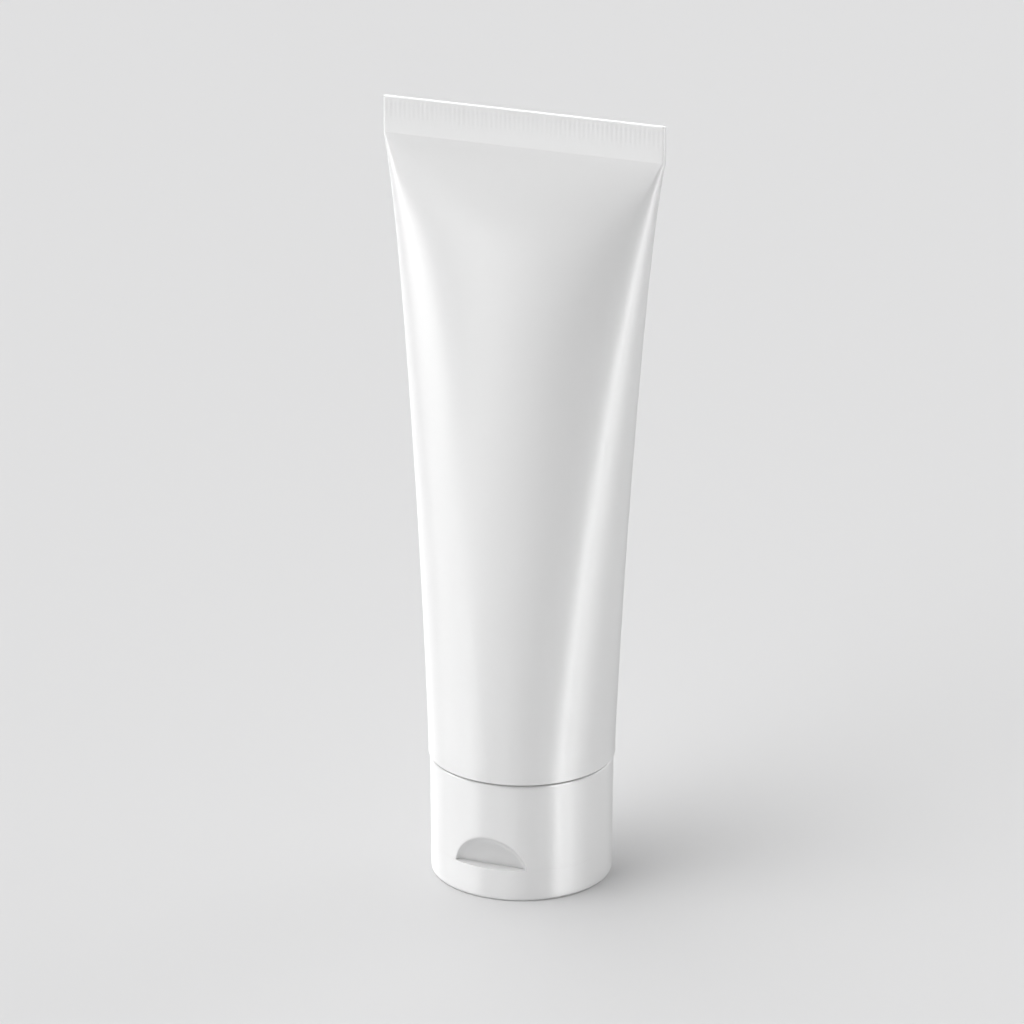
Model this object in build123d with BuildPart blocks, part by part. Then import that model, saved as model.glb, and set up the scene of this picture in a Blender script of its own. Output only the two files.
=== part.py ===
from build123d import *
import os
from math import asin, atan2, degrees, pi, sin, sqrt

# A squeeze tube with a flip-top cap, standing head down on its lid.
# Origin: on the floor, on the tube's axis. +Z runs up to the crimp, and the finger recess faces -Y.

# Sleeve
sleeve_diameter = 35.0
sleeve_wall = 0.5
sleeve_length = 124.4
crimp_height = 6.8
rib_height = 3.4
rib_pitch = 0.88
rib_groove_width = 0.5
rib_groove_depth = 0.12
rib_top_margin = 0.35
rib_side_margin = 1.0

# The sleeve's flattening from round to crimp: shares of its height and of its radius
steady_share = 0.56
rising_share = 0.33
closing_power = 12
round_end_share = 0.002
seal_start_share = 0.985
section_count = 10

# Moulded head of the tube
collar_height = 2.5
collar_weld_gap = 0.06
collar_wall = 1.0
seat_margin = 0.6
shoulder_drop = 4.0
shoulder_wall = 1.2
neck_diameter = 15.0
neck_wall = 1.2
end_plate = 1.0
orifice_diameter = 6.4
neck_bead_height = 0.45
neck_bead_land = 0.3
neck_bead_rise = 7.0
lug_width = 1.6
lug_height = 1.2
lug_reach = 1.0

# Closure as a whole
cap_height = 23.3
cap_step = 0.3
cap_draft_run = 0.17
joint_gap = 0.3
lid_height = 6.2
cap_wall = 1.3
foot_radius = 0.4
skirt_edge = 0.2
parting_edge = 0.08

# Cap base
deck_thickness = 1.3
snap_skirt_wall = 1.2
snap_skirt_gap = 0.15
snap_skirt_shortfall = 0.4
bead_clearance = 0.15
lug_clearance = 0.2
stiffener_count = 8
stiffener_thickness = 0.9
stiffener_shortfall = 2.6
neck_end_gap = 0.3
spigot_length = 2.1
spigot_clearance = 0.15
spout_length = 3.4
spout_root_diameter = 6.8
spout_tip_diameter = 6.2
spout_bore_diameter = 4.0
spout_lip_edge = 0.3
ring_clearance = 0.35
ring_wall = 1.0
ring_height = 1.2
ring_bead = 0.12
ring_bead_rise = 0.7

# Finger recess over the lid's front lip
recess_half_width = 7.1
recess_height = 6.1
recess_depth = 2.4
recess_top_depth = 1.0
recess_slope_share = 0.83
recess_overrun = 0.2
recess_backing = 1.1
recess_backing_side = 1.4
recess_floor_radius = 0.5

# Lid
lid_plate = 1.2
lid_lip_extra = 0.3
plug_clearance = 0.12
plug_tip_diameter = 2.9
plug_insertion = 2.2
plug_tip_edge = 0.4
collar_ring_clearance = 0.5
collar_ring_wall = 0.8
collar_ring_height = 0.9

# Film hinge at the back
hinge_flat_depth = 0.88
hinge_offset = 0.15
hinge_roll_radius = 0.2
hinge_width = 9.0
hinge_web = 0.3
hinge_recess_margin = 0.5
hinge_edge_chamfer = 0.5

# Contents
fill_gap = 0.1
overrun = 1.0

# Derived sizes
sleeve_radius = sleeve_diameter / 2
crimp_thickness = 2 * sleeve_wall
sleeve_start = cap_height + joint_gap
flatten_start = sleeve_start + collar_height
crimp_start = sleeve_start + sleeve_length - crimp_height
total_height = sleeve_start + sleeve_length
closed_share = 1 - crimp_thickness / sleeve_diameter
crimp_width = crimp_thickness + pi * (sleeve_radius - crimp_thickness / 2)
neck_radius = neck_diameter / 2
neck_root = sleeve_start - shoulder_drop
deck_top = lid_height + deck_thickness
neck_end = deck_top + neck_end_gap
bead_z = neck_end + neck_bead_rise
collar_radius = sleeve_radius - sleeve_wall - collar_weld_gap
snap_radius = neck_radius + snap_skirt_gap
snap_outer = snap_radius + snap_skirt_wall
bore_radius = spout_bore_diameter / 2
spigot_top = deck_top + spigot_length
cap_draft = cap_draft_run / cap_height


def cap_radius(z):
    """Outer radius of the closure's drafted wall at a height."""
    return sleeve_radius - cap_step - cap_draft * (cap_height - z)


seat_radius = cap_radius(cap_height) - cap_wall - seat_margin
front_wall = cap_radius(lid_height)
hinge_flat = front_wall - hinge_flat_depth
hinge_y = hinge_flat + hinge_offset
spout_mouth = lid_height - spout_length
plug_tip = spout_mouth + plug_insertion
lip_radius = front_wall - recess_depth - lid_lip_extra
ring_radius = lip_radius - ring_clearance
backing_radius = front_wall - recess_depth - recess_backing
backing_angle = degrees(asin((recess_half_width + recess_backing_side) / front_wall))
backing_top = lid_height + recess_height + recess_backing


def flatness(share):
    """How far the sleeve is pressed flat, from 0 for round to nearly 1, at a share of its height."""
    closing_share = closed_share - steady_share - rising_share
    pressed = steady_share * share + rising_share * share ** 2 + closing_share * share ** closing_power
    return max(pressed, round_end_share)


def section_height(share):
    """Height of a sleeve section above the floor."""
    return flatten_start + share * (crimp_start - flatten_start)


def sleeve_section(share, inset, height):
    """Two straights and two half circles with the sleeve's constant girth, set in by a wall."""
    end_radius = sleeve_radius * (1 - flatness(share))
    straight = pi * (sleeve_radius - end_radius)
    radius = end_radius - inset
    with BuildSketch(Plane.XY.offset(height)) as section:
        with BuildLine():
            front = Line((-straight / 2, -radius), (straight / 2, -radius))
            right = JernArc(front @ 1, (1, 0), radius, 180)
            back = Line(right @ 1, (-straight / 2, radius))
            JernArc(back @ 1, (-1, 0), radius, 180)
        make_face()
    return section.sketch


def sleeve_sections(inset, top_share, foot):
    """Sections from a round foot to a share of the height, closer together towards the crimp."""
    sections = [sleeve_section(0, inset, foot)]
    for step in range(section_count + 1):
        share = top_share * sin(pi / 2 * step / section_count)
        if section_height(share) > foot:
            sections.append(sleeve_section(share, inset, section_height(share)))
    return sections


def neck_bead(clearance):
    """Snap ridge around the neck, with flanks at 45 degrees, grown by a clearance."""
    reach = neck_bead_height + clearance
    half_land = (neck_bead_land + clearance) / 2
    with BuildSketch(Plane.XZ) as bead:
        with BuildLine():
            Polyline(
                (neck_radius, bead_z - half_land - reach),
                (neck_radius + reach, bead_z - half_land),
                (neck_radius + reach, bead_z + half_land),
                (neck_radius, bead_z + half_land + reach),
                close=True,
            )
        make_face()
    return bead.sketch


def recess_arch(plane, half_width, height):
    """Half-moon with its flat lower edge on the plane's X axis."""
    with BuildSketch(plane) as arch:
        with BuildLine():
            Line((-half_width, 0), (half_width, 0))
            ThreePointArc((-half_width, 0), (0, height), (half_width, 0))
        make_face()
    return arch.sketch


# Sleeve: a thin wall, round at the cap and pressed flat at the crimp, with a ribbed seal band
with BuildPart() as tube_sleeve:
    loft(sleeve_sections(0, 1, sleeve_start))
    extrude(sleeve_section(1, 0, crimp_start), amount=crimp_height)
    loft(sleeve_sections(sleeve_wall, seal_start_share, sleeve_start), mode=Mode.SUBTRACT)
    rib_count = int((crimp_width - 2 * rib_side_margin) / rib_pitch)
    with BuildSketch(Plane.XY.offset(total_height - rib_top_margin)):
        for side in (-1, 1):
            with GridLocations(rib_pitch, 0, rib_count, 1):
                with Locations((0, side * crimp_thickness / 2)):
                    Rectangle(rib_groove_width, 2 * rib_groove_depth)
    extrude(amount=-rib_height, mode=Mode.SUBTRACT)
tube_sleeve.part.label = "tube_sleeve"

# Head: collar, shoulder, neck and end plate in one moulding, with the snap bead and two locating lugs
with BuildPart() as tube_head:
    with BuildSketch(Plane.XZ):
        with BuildLine():
            Polyline(
                (orifice_diameter / 2, neck_end),
                (neck_radius, neck_end),
                (neck_radius, neck_root),
                (seat_radius, sleeve_start),
                (collar_radius, sleeve_start),
                (collar_radius, sleeve_start + collar_height),
                (collar_radius - collar_wall, sleeve_start + collar_height),
                (collar_radius - collar_wall, sleeve_start + shoulder_wall),
                (seat_radius, sleeve_start + shoulder_wall),
                (neck_radius - neck_wall, neck_root + shoulder_wall),
                (neck_radius - neck_wall, neck_end + end_plate),
                (orifice_diameter / 2, neck_end + end_plate),
                close=True,
            )
        make_face()
    revolve(axis=Axis.Z)
    revolve(neck_bead(0), axis=Axis.Z)
    with BuildSketch(Plane.XY.offset(neck_root - lug_height)):
        Rectangle(2 * (neck_radius + lug_reach), lug_width)
        Circle(neck_radius - neck_wall / 2, mode=Mode.SUBTRACT)
    extrude(amount=lug_height + lug_reach / 2)
tube_head.part.label = "tube_head"

# Filling: fills the sleeve and the head, and plugs into the neck
with BuildPart() as adhesive_cream:
    loft(sleeve_sections(sleeve_wall + fill_gap, seal_start_share, flatten_start + fill_gap))
    fill_neck = neck_radius - neck_wall - fill_gap
    fill_collar = collar_radius - collar_wall - fill_gap
    with BuildSketch(Plane.XZ):
        with BuildLine():
            Polyline(
                (0, spigot_top + fill_gap),
                (fill_neck, spigot_top + fill_gap),
                (fill_neck, neck_root + shoulder_wall + fill_gap),
                (seat_radius - fill_gap, sleeve_start + shoulder_wall + fill_gap),
                (fill_collar, sleeve_start + shoulder_wall + fill_gap),
                (fill_collar, flatten_start + fill_gap),
                (0, flatten_start + fill_gap),
                close=True,
            )
        make_face()
    revolve(axis=Axis.Z)
adhesive_cream.part.label = "adhesive_cream"

# Cap base: drafted skirt, deck, snap skirt, stiffeners, spout, locating ring, recess and hinge
with BuildPart() as cap_base:
    with BuildSketch(Plane.XZ):
        with BuildLine():
            Polyline(
                (bore_radius, lid_height),
                (cap_radius(lid_height), lid_height),
                (cap_radius(cap_height), cap_height),
                (cap_radius(cap_height) - cap_wall, cap_height),
                (cap_radius(deck_top) - cap_wall, deck_top),
                (bore_radius, deck_top),
                close=True,
            )
        make_face()
    revolve(axis=Axis.Z)
    parting_edges = cap_base.edges().filter_by(GeomType.CIRCLE).group_by(Axis.Z)[0]
    chamfer(parting_edges.sort_by(SortBy.RADIUS)[-1:], parting_edge)
    skirt_end = cap_base.edges().filter_by(GeomType.CIRCLE).group_by(Axis.Z)[-1]
    chamfer(skirt_end, skirt_edge)

    # Snap skirt with its groove for the neck's bead, and the stiffeners around it
    with BuildSketch(Plane.XY.offset(deck_top)):
        Circle(snap_outer)
        Circle(snap_radius, mode=Mode.SUBTRACT)
    extrude(amount=neck_root - snap_skirt_shortfall - deck_top)
    revolve(neck_bead(bead_clearance), axis=Axis.Z, mode=Mode.SUBTRACT)
    with BuildSketch(Plane.XY.offset(neck_root + overrun)):
        Rectangle(2 * (snap_outer + overrun), lug_width + 2 * lug_clearance)
        Circle(neck_radius, mode=Mode.SUBTRACT)
    extrude(amount=-(lug_height + lug_clearance + overrun), mode=Mode.SUBTRACT)
    stiffener_start = (snap_radius + snap_outer) / 2
    stiffener_end = cap_radius(deck_top) - cap_wall / 2
    with BuildSketch(Plane.XY.offset(deck_top)):
        stiffener_middle = (stiffener_start + stiffener_end) / 2
        with PolarLocations(stiffener_middle, stiffener_count, start_angle=180 / stiffener_count):
            Rectangle(stiffener_end - stiffener_start, stiffener_thickness)
    extrude(amount=neck_root - stiffener_shortfall - deck_top)

    # Seal spigot into the head's orifice, spout on the outlet side, and the ring the lid closes over
    with BuildSketch(Plane.XZ):
        with BuildLine():
            Polyline(
                (bore_radius, deck_top),
                (orifice_diameter / 2 - spigot_clearance, deck_top),
                (orifice_diameter / 2 - spigot_clearance, spigot_top),
                (bore_radius, spigot_top),
                close=True,
            )
        make_face()
        with BuildLine():
            Polyline(
                (bore_radius, lid_height),
                (spout_root_diameter / 2, lid_height),
                (spout_tip_diameter / 2, lid_height - spout_length),
                (bore_radius, lid_height - spout_length),
                close=True,
            )
        make_face()
        with BuildLine():
            Polyline(
                (ring_radius, lid_height),
                (ring_radius, lid_height - ring_bead_rise + ring_bead),
                (ring_radius + ring_bead, lid_height - ring_bead_rise),
                (ring_radius, lid_height - ring_bead_rise - ring_bead),
                (ring_radius, lid_height - ring_height),
                (ring_radius - ring_wall, lid_height - ring_height),
                (ring_radius - ring_wall, lid_height),
                close=True,
            )
        make_face()
    revolve(axis=Axis.Z)
    spout_tip = cap_base.edges().filter_by(GeomType.CIRCLE).group_by(Axis.Z)[0]
    chamfer(spout_tip, spout_lip_edge)

    # Thicker wall behind the finger recess, then the recess: a half-moon scoop with sloping sides
    with BuildSketch(Plane.XZ.rotated((0, 0, -90 - backing_angle))):
        with BuildLine():
            Polyline(
                (backing_radius, deck_top - deck_thickness / 2),
                (front_wall - cap_wall / 2, deck_top - deck_thickness / 2),
                (front_wall - cap_wall / 2, backing_top + recess_depth),
                (backing_radius, backing_top),
                close=True,
            )
        make_face()
    revolve(axis=Axis.Z, revolution_arc=2 * backing_angle)
    mouth_reach = cap_radius(cap_height) + recess_overrun
    corner_reach = sqrt(front_wall ** 2 - recess_half_width ** 2)
    floor_reach = front_wall - recess_depth
    mouth_half_width = recess_half_width + recess_slope_share * (mouth_reach - corner_reach)
    mouth_height = recess_height + recess_slope_share * (mouth_reach - front_wall)
    floor_half_width = recess_half_width - recess_slope_share * (corner_reach - floor_reach)
    floor_height = recess_height - recess_slope_share * recess_top_depth
    floor_lean = degrees(atan2(recess_depth - recess_top_depth, floor_height))
    mouth_plane = Plane((0, -mouth_reach, lid_height), x_dir=(1, 0, 0), z_dir=(0, -1, 0))
    upright_floor = Plane((0, -floor_reach, lid_height), x_dir=(1, 0, 0), z_dir=(0, -1, 0))
    floor_plane = upright_floor.rotated((floor_lean, 0, 0))
    recess_mouth = recess_arch(mouth_plane, mouth_half_width, mouth_height)
    recess_floor = recess_arch(floor_plane, floor_half_width, floor_height)
    loft([recess_mouth, recess_floor], mode=Mode.SUBTRACT)
    floor_face = cap_base.faces().filter_by(GeomType.PLANE).sort_by_distance(recess_floor.center())[0]
    fillet(floor_face.edges().sort_by(Axis.Z)[-1], recess_floor_radius)

    # Flat behind the hinge, and the film hinge's roll on the hinge axis
    with BuildSketch(Plane.XY.offset(lid_height - overrun)):
        with Locations((0, hinge_flat)):
            Rectangle(sleeve_diameter, sleeve_diameter, align=(Align.CENTER, Align.MIN))
    extrude(amount=overrun + lid_height + hinge_recess_margin, mode=Mode.SUBTRACT)
    with BuildSketch(Plane.YZ.offset(-hinge_width / 2)):
        with Locations((hinge_y, lid_height)):
            Circle(hinge_roll_radius)
        with Locations((hinge_y, lid_height)):
            Rectangle(hinge_offset + hinge_web, hinge_web, align=(Align.MAX, Align.MIN))
    extrude(amount=hinge_width)
cap_base.part.label = "cap_base"

# Lid: a shallow cup that the tube stands on, with its plug, seal ring and thicker front lip
with BuildPart() as cap_lid:
    plug_root = bore_radius - plug_clearance
    with BuildSketch(Plane.XZ):
        with BuildLine():
            Polyline(
                (0, 0),
                (cap_radius(0), 0),
                (cap_radius(lid_height), lid_height),
                (cap_radius(lid_height) - cap_wall, lid_height),
                (cap_radius(lid_plate) - cap_wall, lid_plate),
                (0, lid_plate),
                close=True,
            )
        make_face()
    revolve(axis=Axis.Z)
    lid_edges = cap_lid.edges().filter_by(GeomType.CIRCLE)
    fillet(lid_edges.group_by(Axis.Z)[0], foot_radius)
    rim_edges = cap_lid.edges().filter_by(GeomType.CIRCLE).group_by(Axis.Z)[-1]
    chamfer(rim_edges.sort_by(SortBy.RADIUS)[-1:], parting_edge)

    # Plug that shuts the spout, and the ring around the spout's mouth
    with BuildSketch(Plane.XZ):
        with BuildLine():
            Polyline(
                (0, lid_plate),
                (plug_root, lid_plate),
                (plug_root, spout_mouth),
                (plug_tip_diameter / 2, plug_tip - plug_tip_edge),
                (plug_tip_diameter / 2 - plug_tip_edge, plug_tip),
                (0, plug_tip),
                close=True,
            )
        make_face()
        with BuildLine():
            ring_inner = spout_tip_diameter / 2 + collar_ring_clearance
            Polyline(
                (ring_inner, lid_plate),
                (ring_inner + collar_ring_wall, lid_plate),
                (ring_inner + collar_ring_wall, lid_plate + collar_ring_height),
                (ring_inner, lid_plate + collar_ring_height),
                close=True,
            )
        make_face()
    revolve(axis=Axis.Z)

    # Thicker lip under the finger recess
    with BuildSketch(Plane.XZ.rotated((0, 0, -90 - backing_angle))):
        with BuildLine():
            Polyline(
                (lip_radius, lid_plate / 2),
                (cap_radius(lid_plate) - cap_wall / 2, lid_plate / 2),
                (cap_radius(lid_plate) - cap_wall / 2, lid_height),
                (lip_radius, lid_height),
                close=True,
            )
        make_face()
    revolve(axis=Axis.Z, revolution_arc=2 * backing_angle)

    # Flat behind the hinge, and the back edge eased so that it turns past the film hinge
    with BuildSketch():
        with Locations((0, hinge_flat)):
            Rectangle(sleeve_diameter, sleeve_diameter, align=(Align.CENTER, Align.MIN))
    extrude(amount=lid_height, mode=Mode.SUBTRACT)
    with BuildSketch(Plane.YZ):
        with BuildLine():
            Polyline(
                (hinge_flat - hinge_edge_chamfer, lid_height),
                (hinge_flat + overrun, lid_height),
                (hinge_flat + overrun, lid_height - hinge_edge_chamfer),
                (hinge_flat, lid_height - hinge_edge_chamfer),
                close=True,
            )
        make_face()
    extrude(amount=hinge_width / 2 + hinge_web, both=True, mode=Mode.SUBTRACT)
cap_lid.part.label = "cap_lid"

os.makedirs("parts", exist_ok=True)
for piece in (tube_sleeve, tube_head, adhesive_cream, cap_base, cap_lid):
    export_step(piece.part, "parts/" + piece.part.label + ".step")
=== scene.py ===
"""Looks of a plain white squeeze tube that stands head down on its flip-top cap.

The sleeve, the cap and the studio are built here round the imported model. Sizes are in
millimetres in the cap's and the hinge's classes and in metres everywhere else.
"""
import logging
import math
from collections.abc import Callable, Iterable
from dataclasses import dataclass
from enum import Enum
from typing import NamedTuple

import bmesh
import bpy
from mathutils import Matrix, Vector


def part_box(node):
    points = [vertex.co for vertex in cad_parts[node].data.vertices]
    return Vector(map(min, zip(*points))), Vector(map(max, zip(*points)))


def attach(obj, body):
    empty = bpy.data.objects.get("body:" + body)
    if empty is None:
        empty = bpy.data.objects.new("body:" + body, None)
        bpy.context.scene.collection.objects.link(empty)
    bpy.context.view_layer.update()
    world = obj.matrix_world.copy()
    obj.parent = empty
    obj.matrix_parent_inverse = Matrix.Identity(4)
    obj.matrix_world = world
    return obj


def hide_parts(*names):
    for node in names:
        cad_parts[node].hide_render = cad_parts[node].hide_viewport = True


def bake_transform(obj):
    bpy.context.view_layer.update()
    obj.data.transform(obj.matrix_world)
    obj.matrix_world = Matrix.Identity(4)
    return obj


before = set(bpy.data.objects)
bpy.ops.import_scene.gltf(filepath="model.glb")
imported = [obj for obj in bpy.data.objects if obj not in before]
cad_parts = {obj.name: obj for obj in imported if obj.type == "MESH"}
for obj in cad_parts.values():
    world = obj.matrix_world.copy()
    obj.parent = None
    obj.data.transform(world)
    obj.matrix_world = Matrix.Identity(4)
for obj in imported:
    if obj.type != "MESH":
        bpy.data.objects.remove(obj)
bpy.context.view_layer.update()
LOG = logging.getLogger("tube")
MM = 0.001
TINY = 1e-7
CLOSE = 1e-5
Profile = tuple[tuple[float, float], ...]


class Body(Enum):
    """The two bodies that the pieces ride on."""

    TUBE = "tube"
    LID = "lid"


class Node(Enum):
    """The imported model's nodes."""

    SLEEVE = "tube_sleeve"
    HEAD = "tube_head"
    CREAM = "adhesive_cream"
    BASE = "cap_base"
    LID = "cap_lid"


class Slot(Enum):
    """The record's material slots."""

    SLEEVE = "sleeve_white"
    HEAD = "head_white"
    CREAM = "cream"
    CAP = "cap_white"


@dataclass
class Bench:
    """One mesh object on the bench, shaped in edit mode.

    Attributes:
        piece: The object being shaped.
    """

    piece: bpy.types.Object

    @staticmethod
    def clear() -> None:
        """Leaves edit mode and deselects everything."""
        if bpy.context.mode != "OBJECT":
            bpy.ops.object.mode_set(mode="OBJECT")
        bpy.ops.object.select_all(action="DESELECT")

    @classmethod
    def take(cls, name: str) -> "Bench":
        """Names the primitive that was just added and opens it for editing.

        Args:
            name: The piece's name.

        Returns:
            The bench with that piece on it, in edit mode.
        """
        piece = bpy.context.active_object
        piece.name = name
        piece.data.name = name
        bpy.ops.object.transform_apply(location=True, rotation=True, scale=True)
        bpy.ops.object.mode_set(mode="EDIT")
        bpy.ops.mesh.select_mode(type="VERT")
        return cls(piece)

    def mesh(self) -> bmesh.types.BMesh:
        """The edit mesh."""
        return bmesh.from_edit_mesh(self.piece.data)

    def pick(self, wanted: Callable[[Vector], bool], among: Iterable[int] | None = None) -> int:
        """Selects the vertices whose place is wanted, and nothing else.

        Args:
            wanted: Says of a vertex's place whether it is selected.
            among: Indices that the choice is limited to.

        Returns:
            How many vertices are selected.
        """
        bpy.ops.mesh.select_all(action="DESELECT")
        work = self.mesh()
        work.verts.ensure_lookup_table()
        pool = work.verts if among is None else [work.verts[i] for i in among]
        count = 0
        for vertex in pool:
            if wanted(vertex.co):
                vertex.select = True
                count += 1
        work.select_flush_mode()
        bmesh.update_edit_mesh(self.piece.data)
        return count

    def choose(self, kind: str, elements: str, wanted: Callable[..., bool]) -> int:
        """Selects the wanted edges or faces, and nothing else.

        Args:
            kind: The select mode, EDGE or FACE.
            elements: What the edit mesh calls them.
            wanted: Says of one of them whether it is selected.

        Returns:
            How many are selected.
        """
        bpy.ops.mesh.select_mode(type=kind)
        bpy.ops.mesh.select_all(action="DESELECT")
        work = self.mesh()
        chosen = [element for element in getattr(work, elements) if wanted(element)]
        for element in chosen:
            element.select = True
        work.select_flush_mode()
        bmesh.update_edit_mesh(self.piece.data)
        return len(chosen)

    def pick_edges(self, wanted: Callable[[Vector, Vector], bool]) -> int:
        """Selects the edges whose two ends are wanted together, and nothing else."""
        return self.choose("EDGE", "edges", lambda edge: wanted(*(end.co for end in edge.verts)))

    def pick_faces(self, wanted: Callable[[Vector], bool]) -> int:
        """Selects the faces whose middle is wanted, and nothing else."""
        return self.choose("FACE", "faces", lambda face: wanted(face.calc_center_median()))

    def pick_rim(self, wanted: Callable[[Vector], bool]) -> int:
        """Selects the open edges whose two ends are both wanted, and nothing else."""
        def open_and_wanted(edge: bmesh.types.BMEdge) -> bool:
            return edge.is_boundary and all(wanted(end.co) for end in edge.verts)
        return self.choose("EDGE", "edges", open_and_wanted)

    @classmethod
    def lathe(cls, name: str, outline: list[tuple[float, float]], segments: int) -> "Bench":
        """Turns an outline round the Z axis, ring by ring.

        Args:
            name: The piece's name.
            outline: Radius and height of each ring, in millimetres.
            segments: Segments round the axis.

        Returns:
            The bench with the turned piece, in edit mode.
        """
        cls.clear()
        radius, height = outline[0]
        bpy.ops.mesh.primitive_circle_add(vertices=segments, radius=radius * MM,
                                          location=(0, 0, height * MM))
        bench = cls.take(name)
        for new_radius, new_height in outline[1:]:
            bench.extrude(z=(new_height - height) * MM)
            bench.scale(new_radius / radius, new_radius / radius, 1, (0, 0, new_height * MM))
            radius, height = new_radius, new_height
        return bench

    def cap_ring(self, radius: float, height: float) -> None:
        """Closes the ring at a radius and height, both in metres, with one flat face."""
        def near(co: Vector) -> bool:
            return abs(co.z - height) < TINY and abs(math.hypot(co.x, co.y) - radius) < CLOSE
        bpy.ops.mesh.select_mode(type="VERT")
        self.pick(near)
        bpy.ops.mesh.edge_face_add()

    def picked(self) -> list[int]:
        """Indices of the selected vertices."""
        work = self.mesh()
        work.verts.index_update()
        return [vertex.index for vertex in work.verts if vertex.select]

    @staticmethod
    def extrude(x: float = 0, y: float = 0, z: float = 0) -> None:
        """Extrudes what is selected by a vector."""
        bpy.ops.mesh.extrude_region_move(TRANSFORM_OT_translate={"value": (x, y, z)})

    @staticmethod
    def move(x: float = 0, y: float = 0, z: float = 0) -> None:
        """Moves what is selected by a vector."""
        bpy.ops.transform.translate(value=(x, y, z))

    @staticmethod
    def scale(x: float = 1, y: float = 1, z: float = 1,
              about: tuple[float, float, float] = (0, 0, 0)) -> None:
        """Scales what is selected about a point."""
        bpy.ops.transform.resize(value=(x, y, z), center_override=about)

    @staticmethod
    def weld(distance: float) -> None:
        """Merges the selected vertices that lie within a distance of each other."""
        bpy.ops.mesh.remove_doubles(threshold=distance)

    def finish(self, smooth_angle: float) -> bpy.types.Object:
        """Turns the faces outwards, leaves edit mode and shades the piece.

        Args:
            smooth_angle: Edges that turn by less than this many degrees are shaded smooth.

        Returns:
            The finished piece.
        """
        bpy.ops.mesh.select_all(action="SELECT")
        bpy.ops.mesh.normals_make_consistent(inside=False)
        bpy.ops.object.mode_set(mode="OBJECT")
        bpy.ops.object.shade_smooth_by_angle(angle=math.radians(smooth_angle))
        return self.piece


class SkinGroup:
    """Node group for moulded and extruded plastic: faint mottling, fine grain and a soft waviness."""

    NAME = "plastic_skin"
    GRAIN_DETAIL = 3
    WAVE_DETAIL = 2

    @classmethod
    def get(cls) -> bpy.types.NodeTree:
        """Builds the group once.

        Returns:
            The group, with inputs for colour, tint, roughness and its spread, grain scale, wave
            scale and the grain's share, and outputs Colour, Roughness and Height.
        """
        if cls.NAME in bpy.data.node_groups:
            return bpy.data.node_groups[cls.NAME]
        tree = bpy.data.node_groups.new(cls.NAME, "ShaderNodeTree")
        for name, kind, default in (
            ("Colour", "NodeSocketColor", (0.8, 0.8, 0.8, 1)),
            ("Tint", "NodeSocketFloat", 0.02),
            ("Roughness", "NodeSocketFloat", 0.3),
            ("Roughness Spread", "NodeSocketFloat", 0.05),
            ("Grain Scale", "NodeSocketFloat", 4000.0),
            ("Wave Scale", "NodeSocketFloat", 60.0),
            ("Grain Share", "NodeSocketFloat", 0.3),
        ):
            socket = tree.interface.new_socket(name=name, in_out="INPUT", socket_type=kind)
            socket.default_value = default
        outputs = (("Colour", "NodeSocketColor"), ("Roughness", "NodeSocketFloat"),
                   ("Height", "NodeSocketFloat"))
        for name, kind in outputs:
            tree.interface.new_socket(name=name, in_out="OUTPUT", socket_type=kind)
        nodes, links = tree.nodes, tree.links
        inlet, outlet = nodes.new("NodeGroupInput"), nodes.new("NodeGroupOutput")
        place = nodes.new("ShaderNodeTexCoord")
        grain = cls._noise(tree, place, inlet.outputs["Grain Scale"], cls.GRAIN_DETAIL)
        wave = cls._noise(tree, place, inlet.outputs["Wave Scale"], cls.WAVE_DETAIL)
        darker = nodes.new("ShaderNodeMix")
        darker.data_type = "RGBA"
        darker.blend_type = "MULTIPLY"
        share = nodes.new("ShaderNodeMath")
        share.operation = "MULTIPLY"
        links.new(wave.outputs["Fac"], share.inputs[0])
        links.new(inlet.outputs["Tint"], share.inputs[1])
        links.new(share.outputs[0], darker.inputs["Factor"])
        links.new(inlet.outputs["Colour"], darker.inputs[6])
        darker.inputs[7].default_value = (0.0, 0.0, 0.0, 1)
        links.new(darker.outputs[2], outlet.inputs["Colour"])
        centred = nodes.new("ShaderNodeMath")
        centred.operation = "SUBTRACT"
        centred.inputs[1].default_value = 0.5
        links.new(grain.outputs["Fac"], centred.inputs[0])
        spread = nodes.new("ShaderNodeMath")
        spread.operation = "MULTIPLY_ADD"
        links.new(centred.outputs[0], spread.inputs[0])
        links.new(inlet.outputs["Roughness Spread"], spread.inputs[1])
        links.new(inlet.outputs["Roughness"], spread.inputs[2])
        links.new(spread.outputs[0], outlet.inputs["Roughness"])
        height = nodes.new("ShaderNodeMix")
        height.data_type = "FLOAT"
        links.new(inlet.outputs["Grain Share"], height.inputs["Factor"])
        links.new(wave.outputs["Fac"], height.inputs[2])
        links.new(grain.outputs["Fac"], height.inputs[3])
        links.new(height.outputs[0], outlet.inputs["Height"])
        return tree

    @staticmethod
    def _noise(tree: bpy.types.NodeTree, place: bpy.types.Node, scale: bpy.types.NodeSocket,
               detail: float) -> bpy.types.Node:
        """Adds a noise on Object coordinates.

        Args:
            tree: The group.
            place: Its Texture Coordinate node.
            scale: Socket that gives the noise's scale.
            detail: Layers of finer noise.

        Returns:
            The noise node.
        """
        noise = tree.nodes.new("ShaderNodeTexNoise")
        noise.inputs["Detail"].default_value = detail
        tree.links.new(place.outputs["Object"], noise.inputs["Vector"])
        tree.links.new(scale, noise.inputs["Scale"])
        return noise


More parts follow.
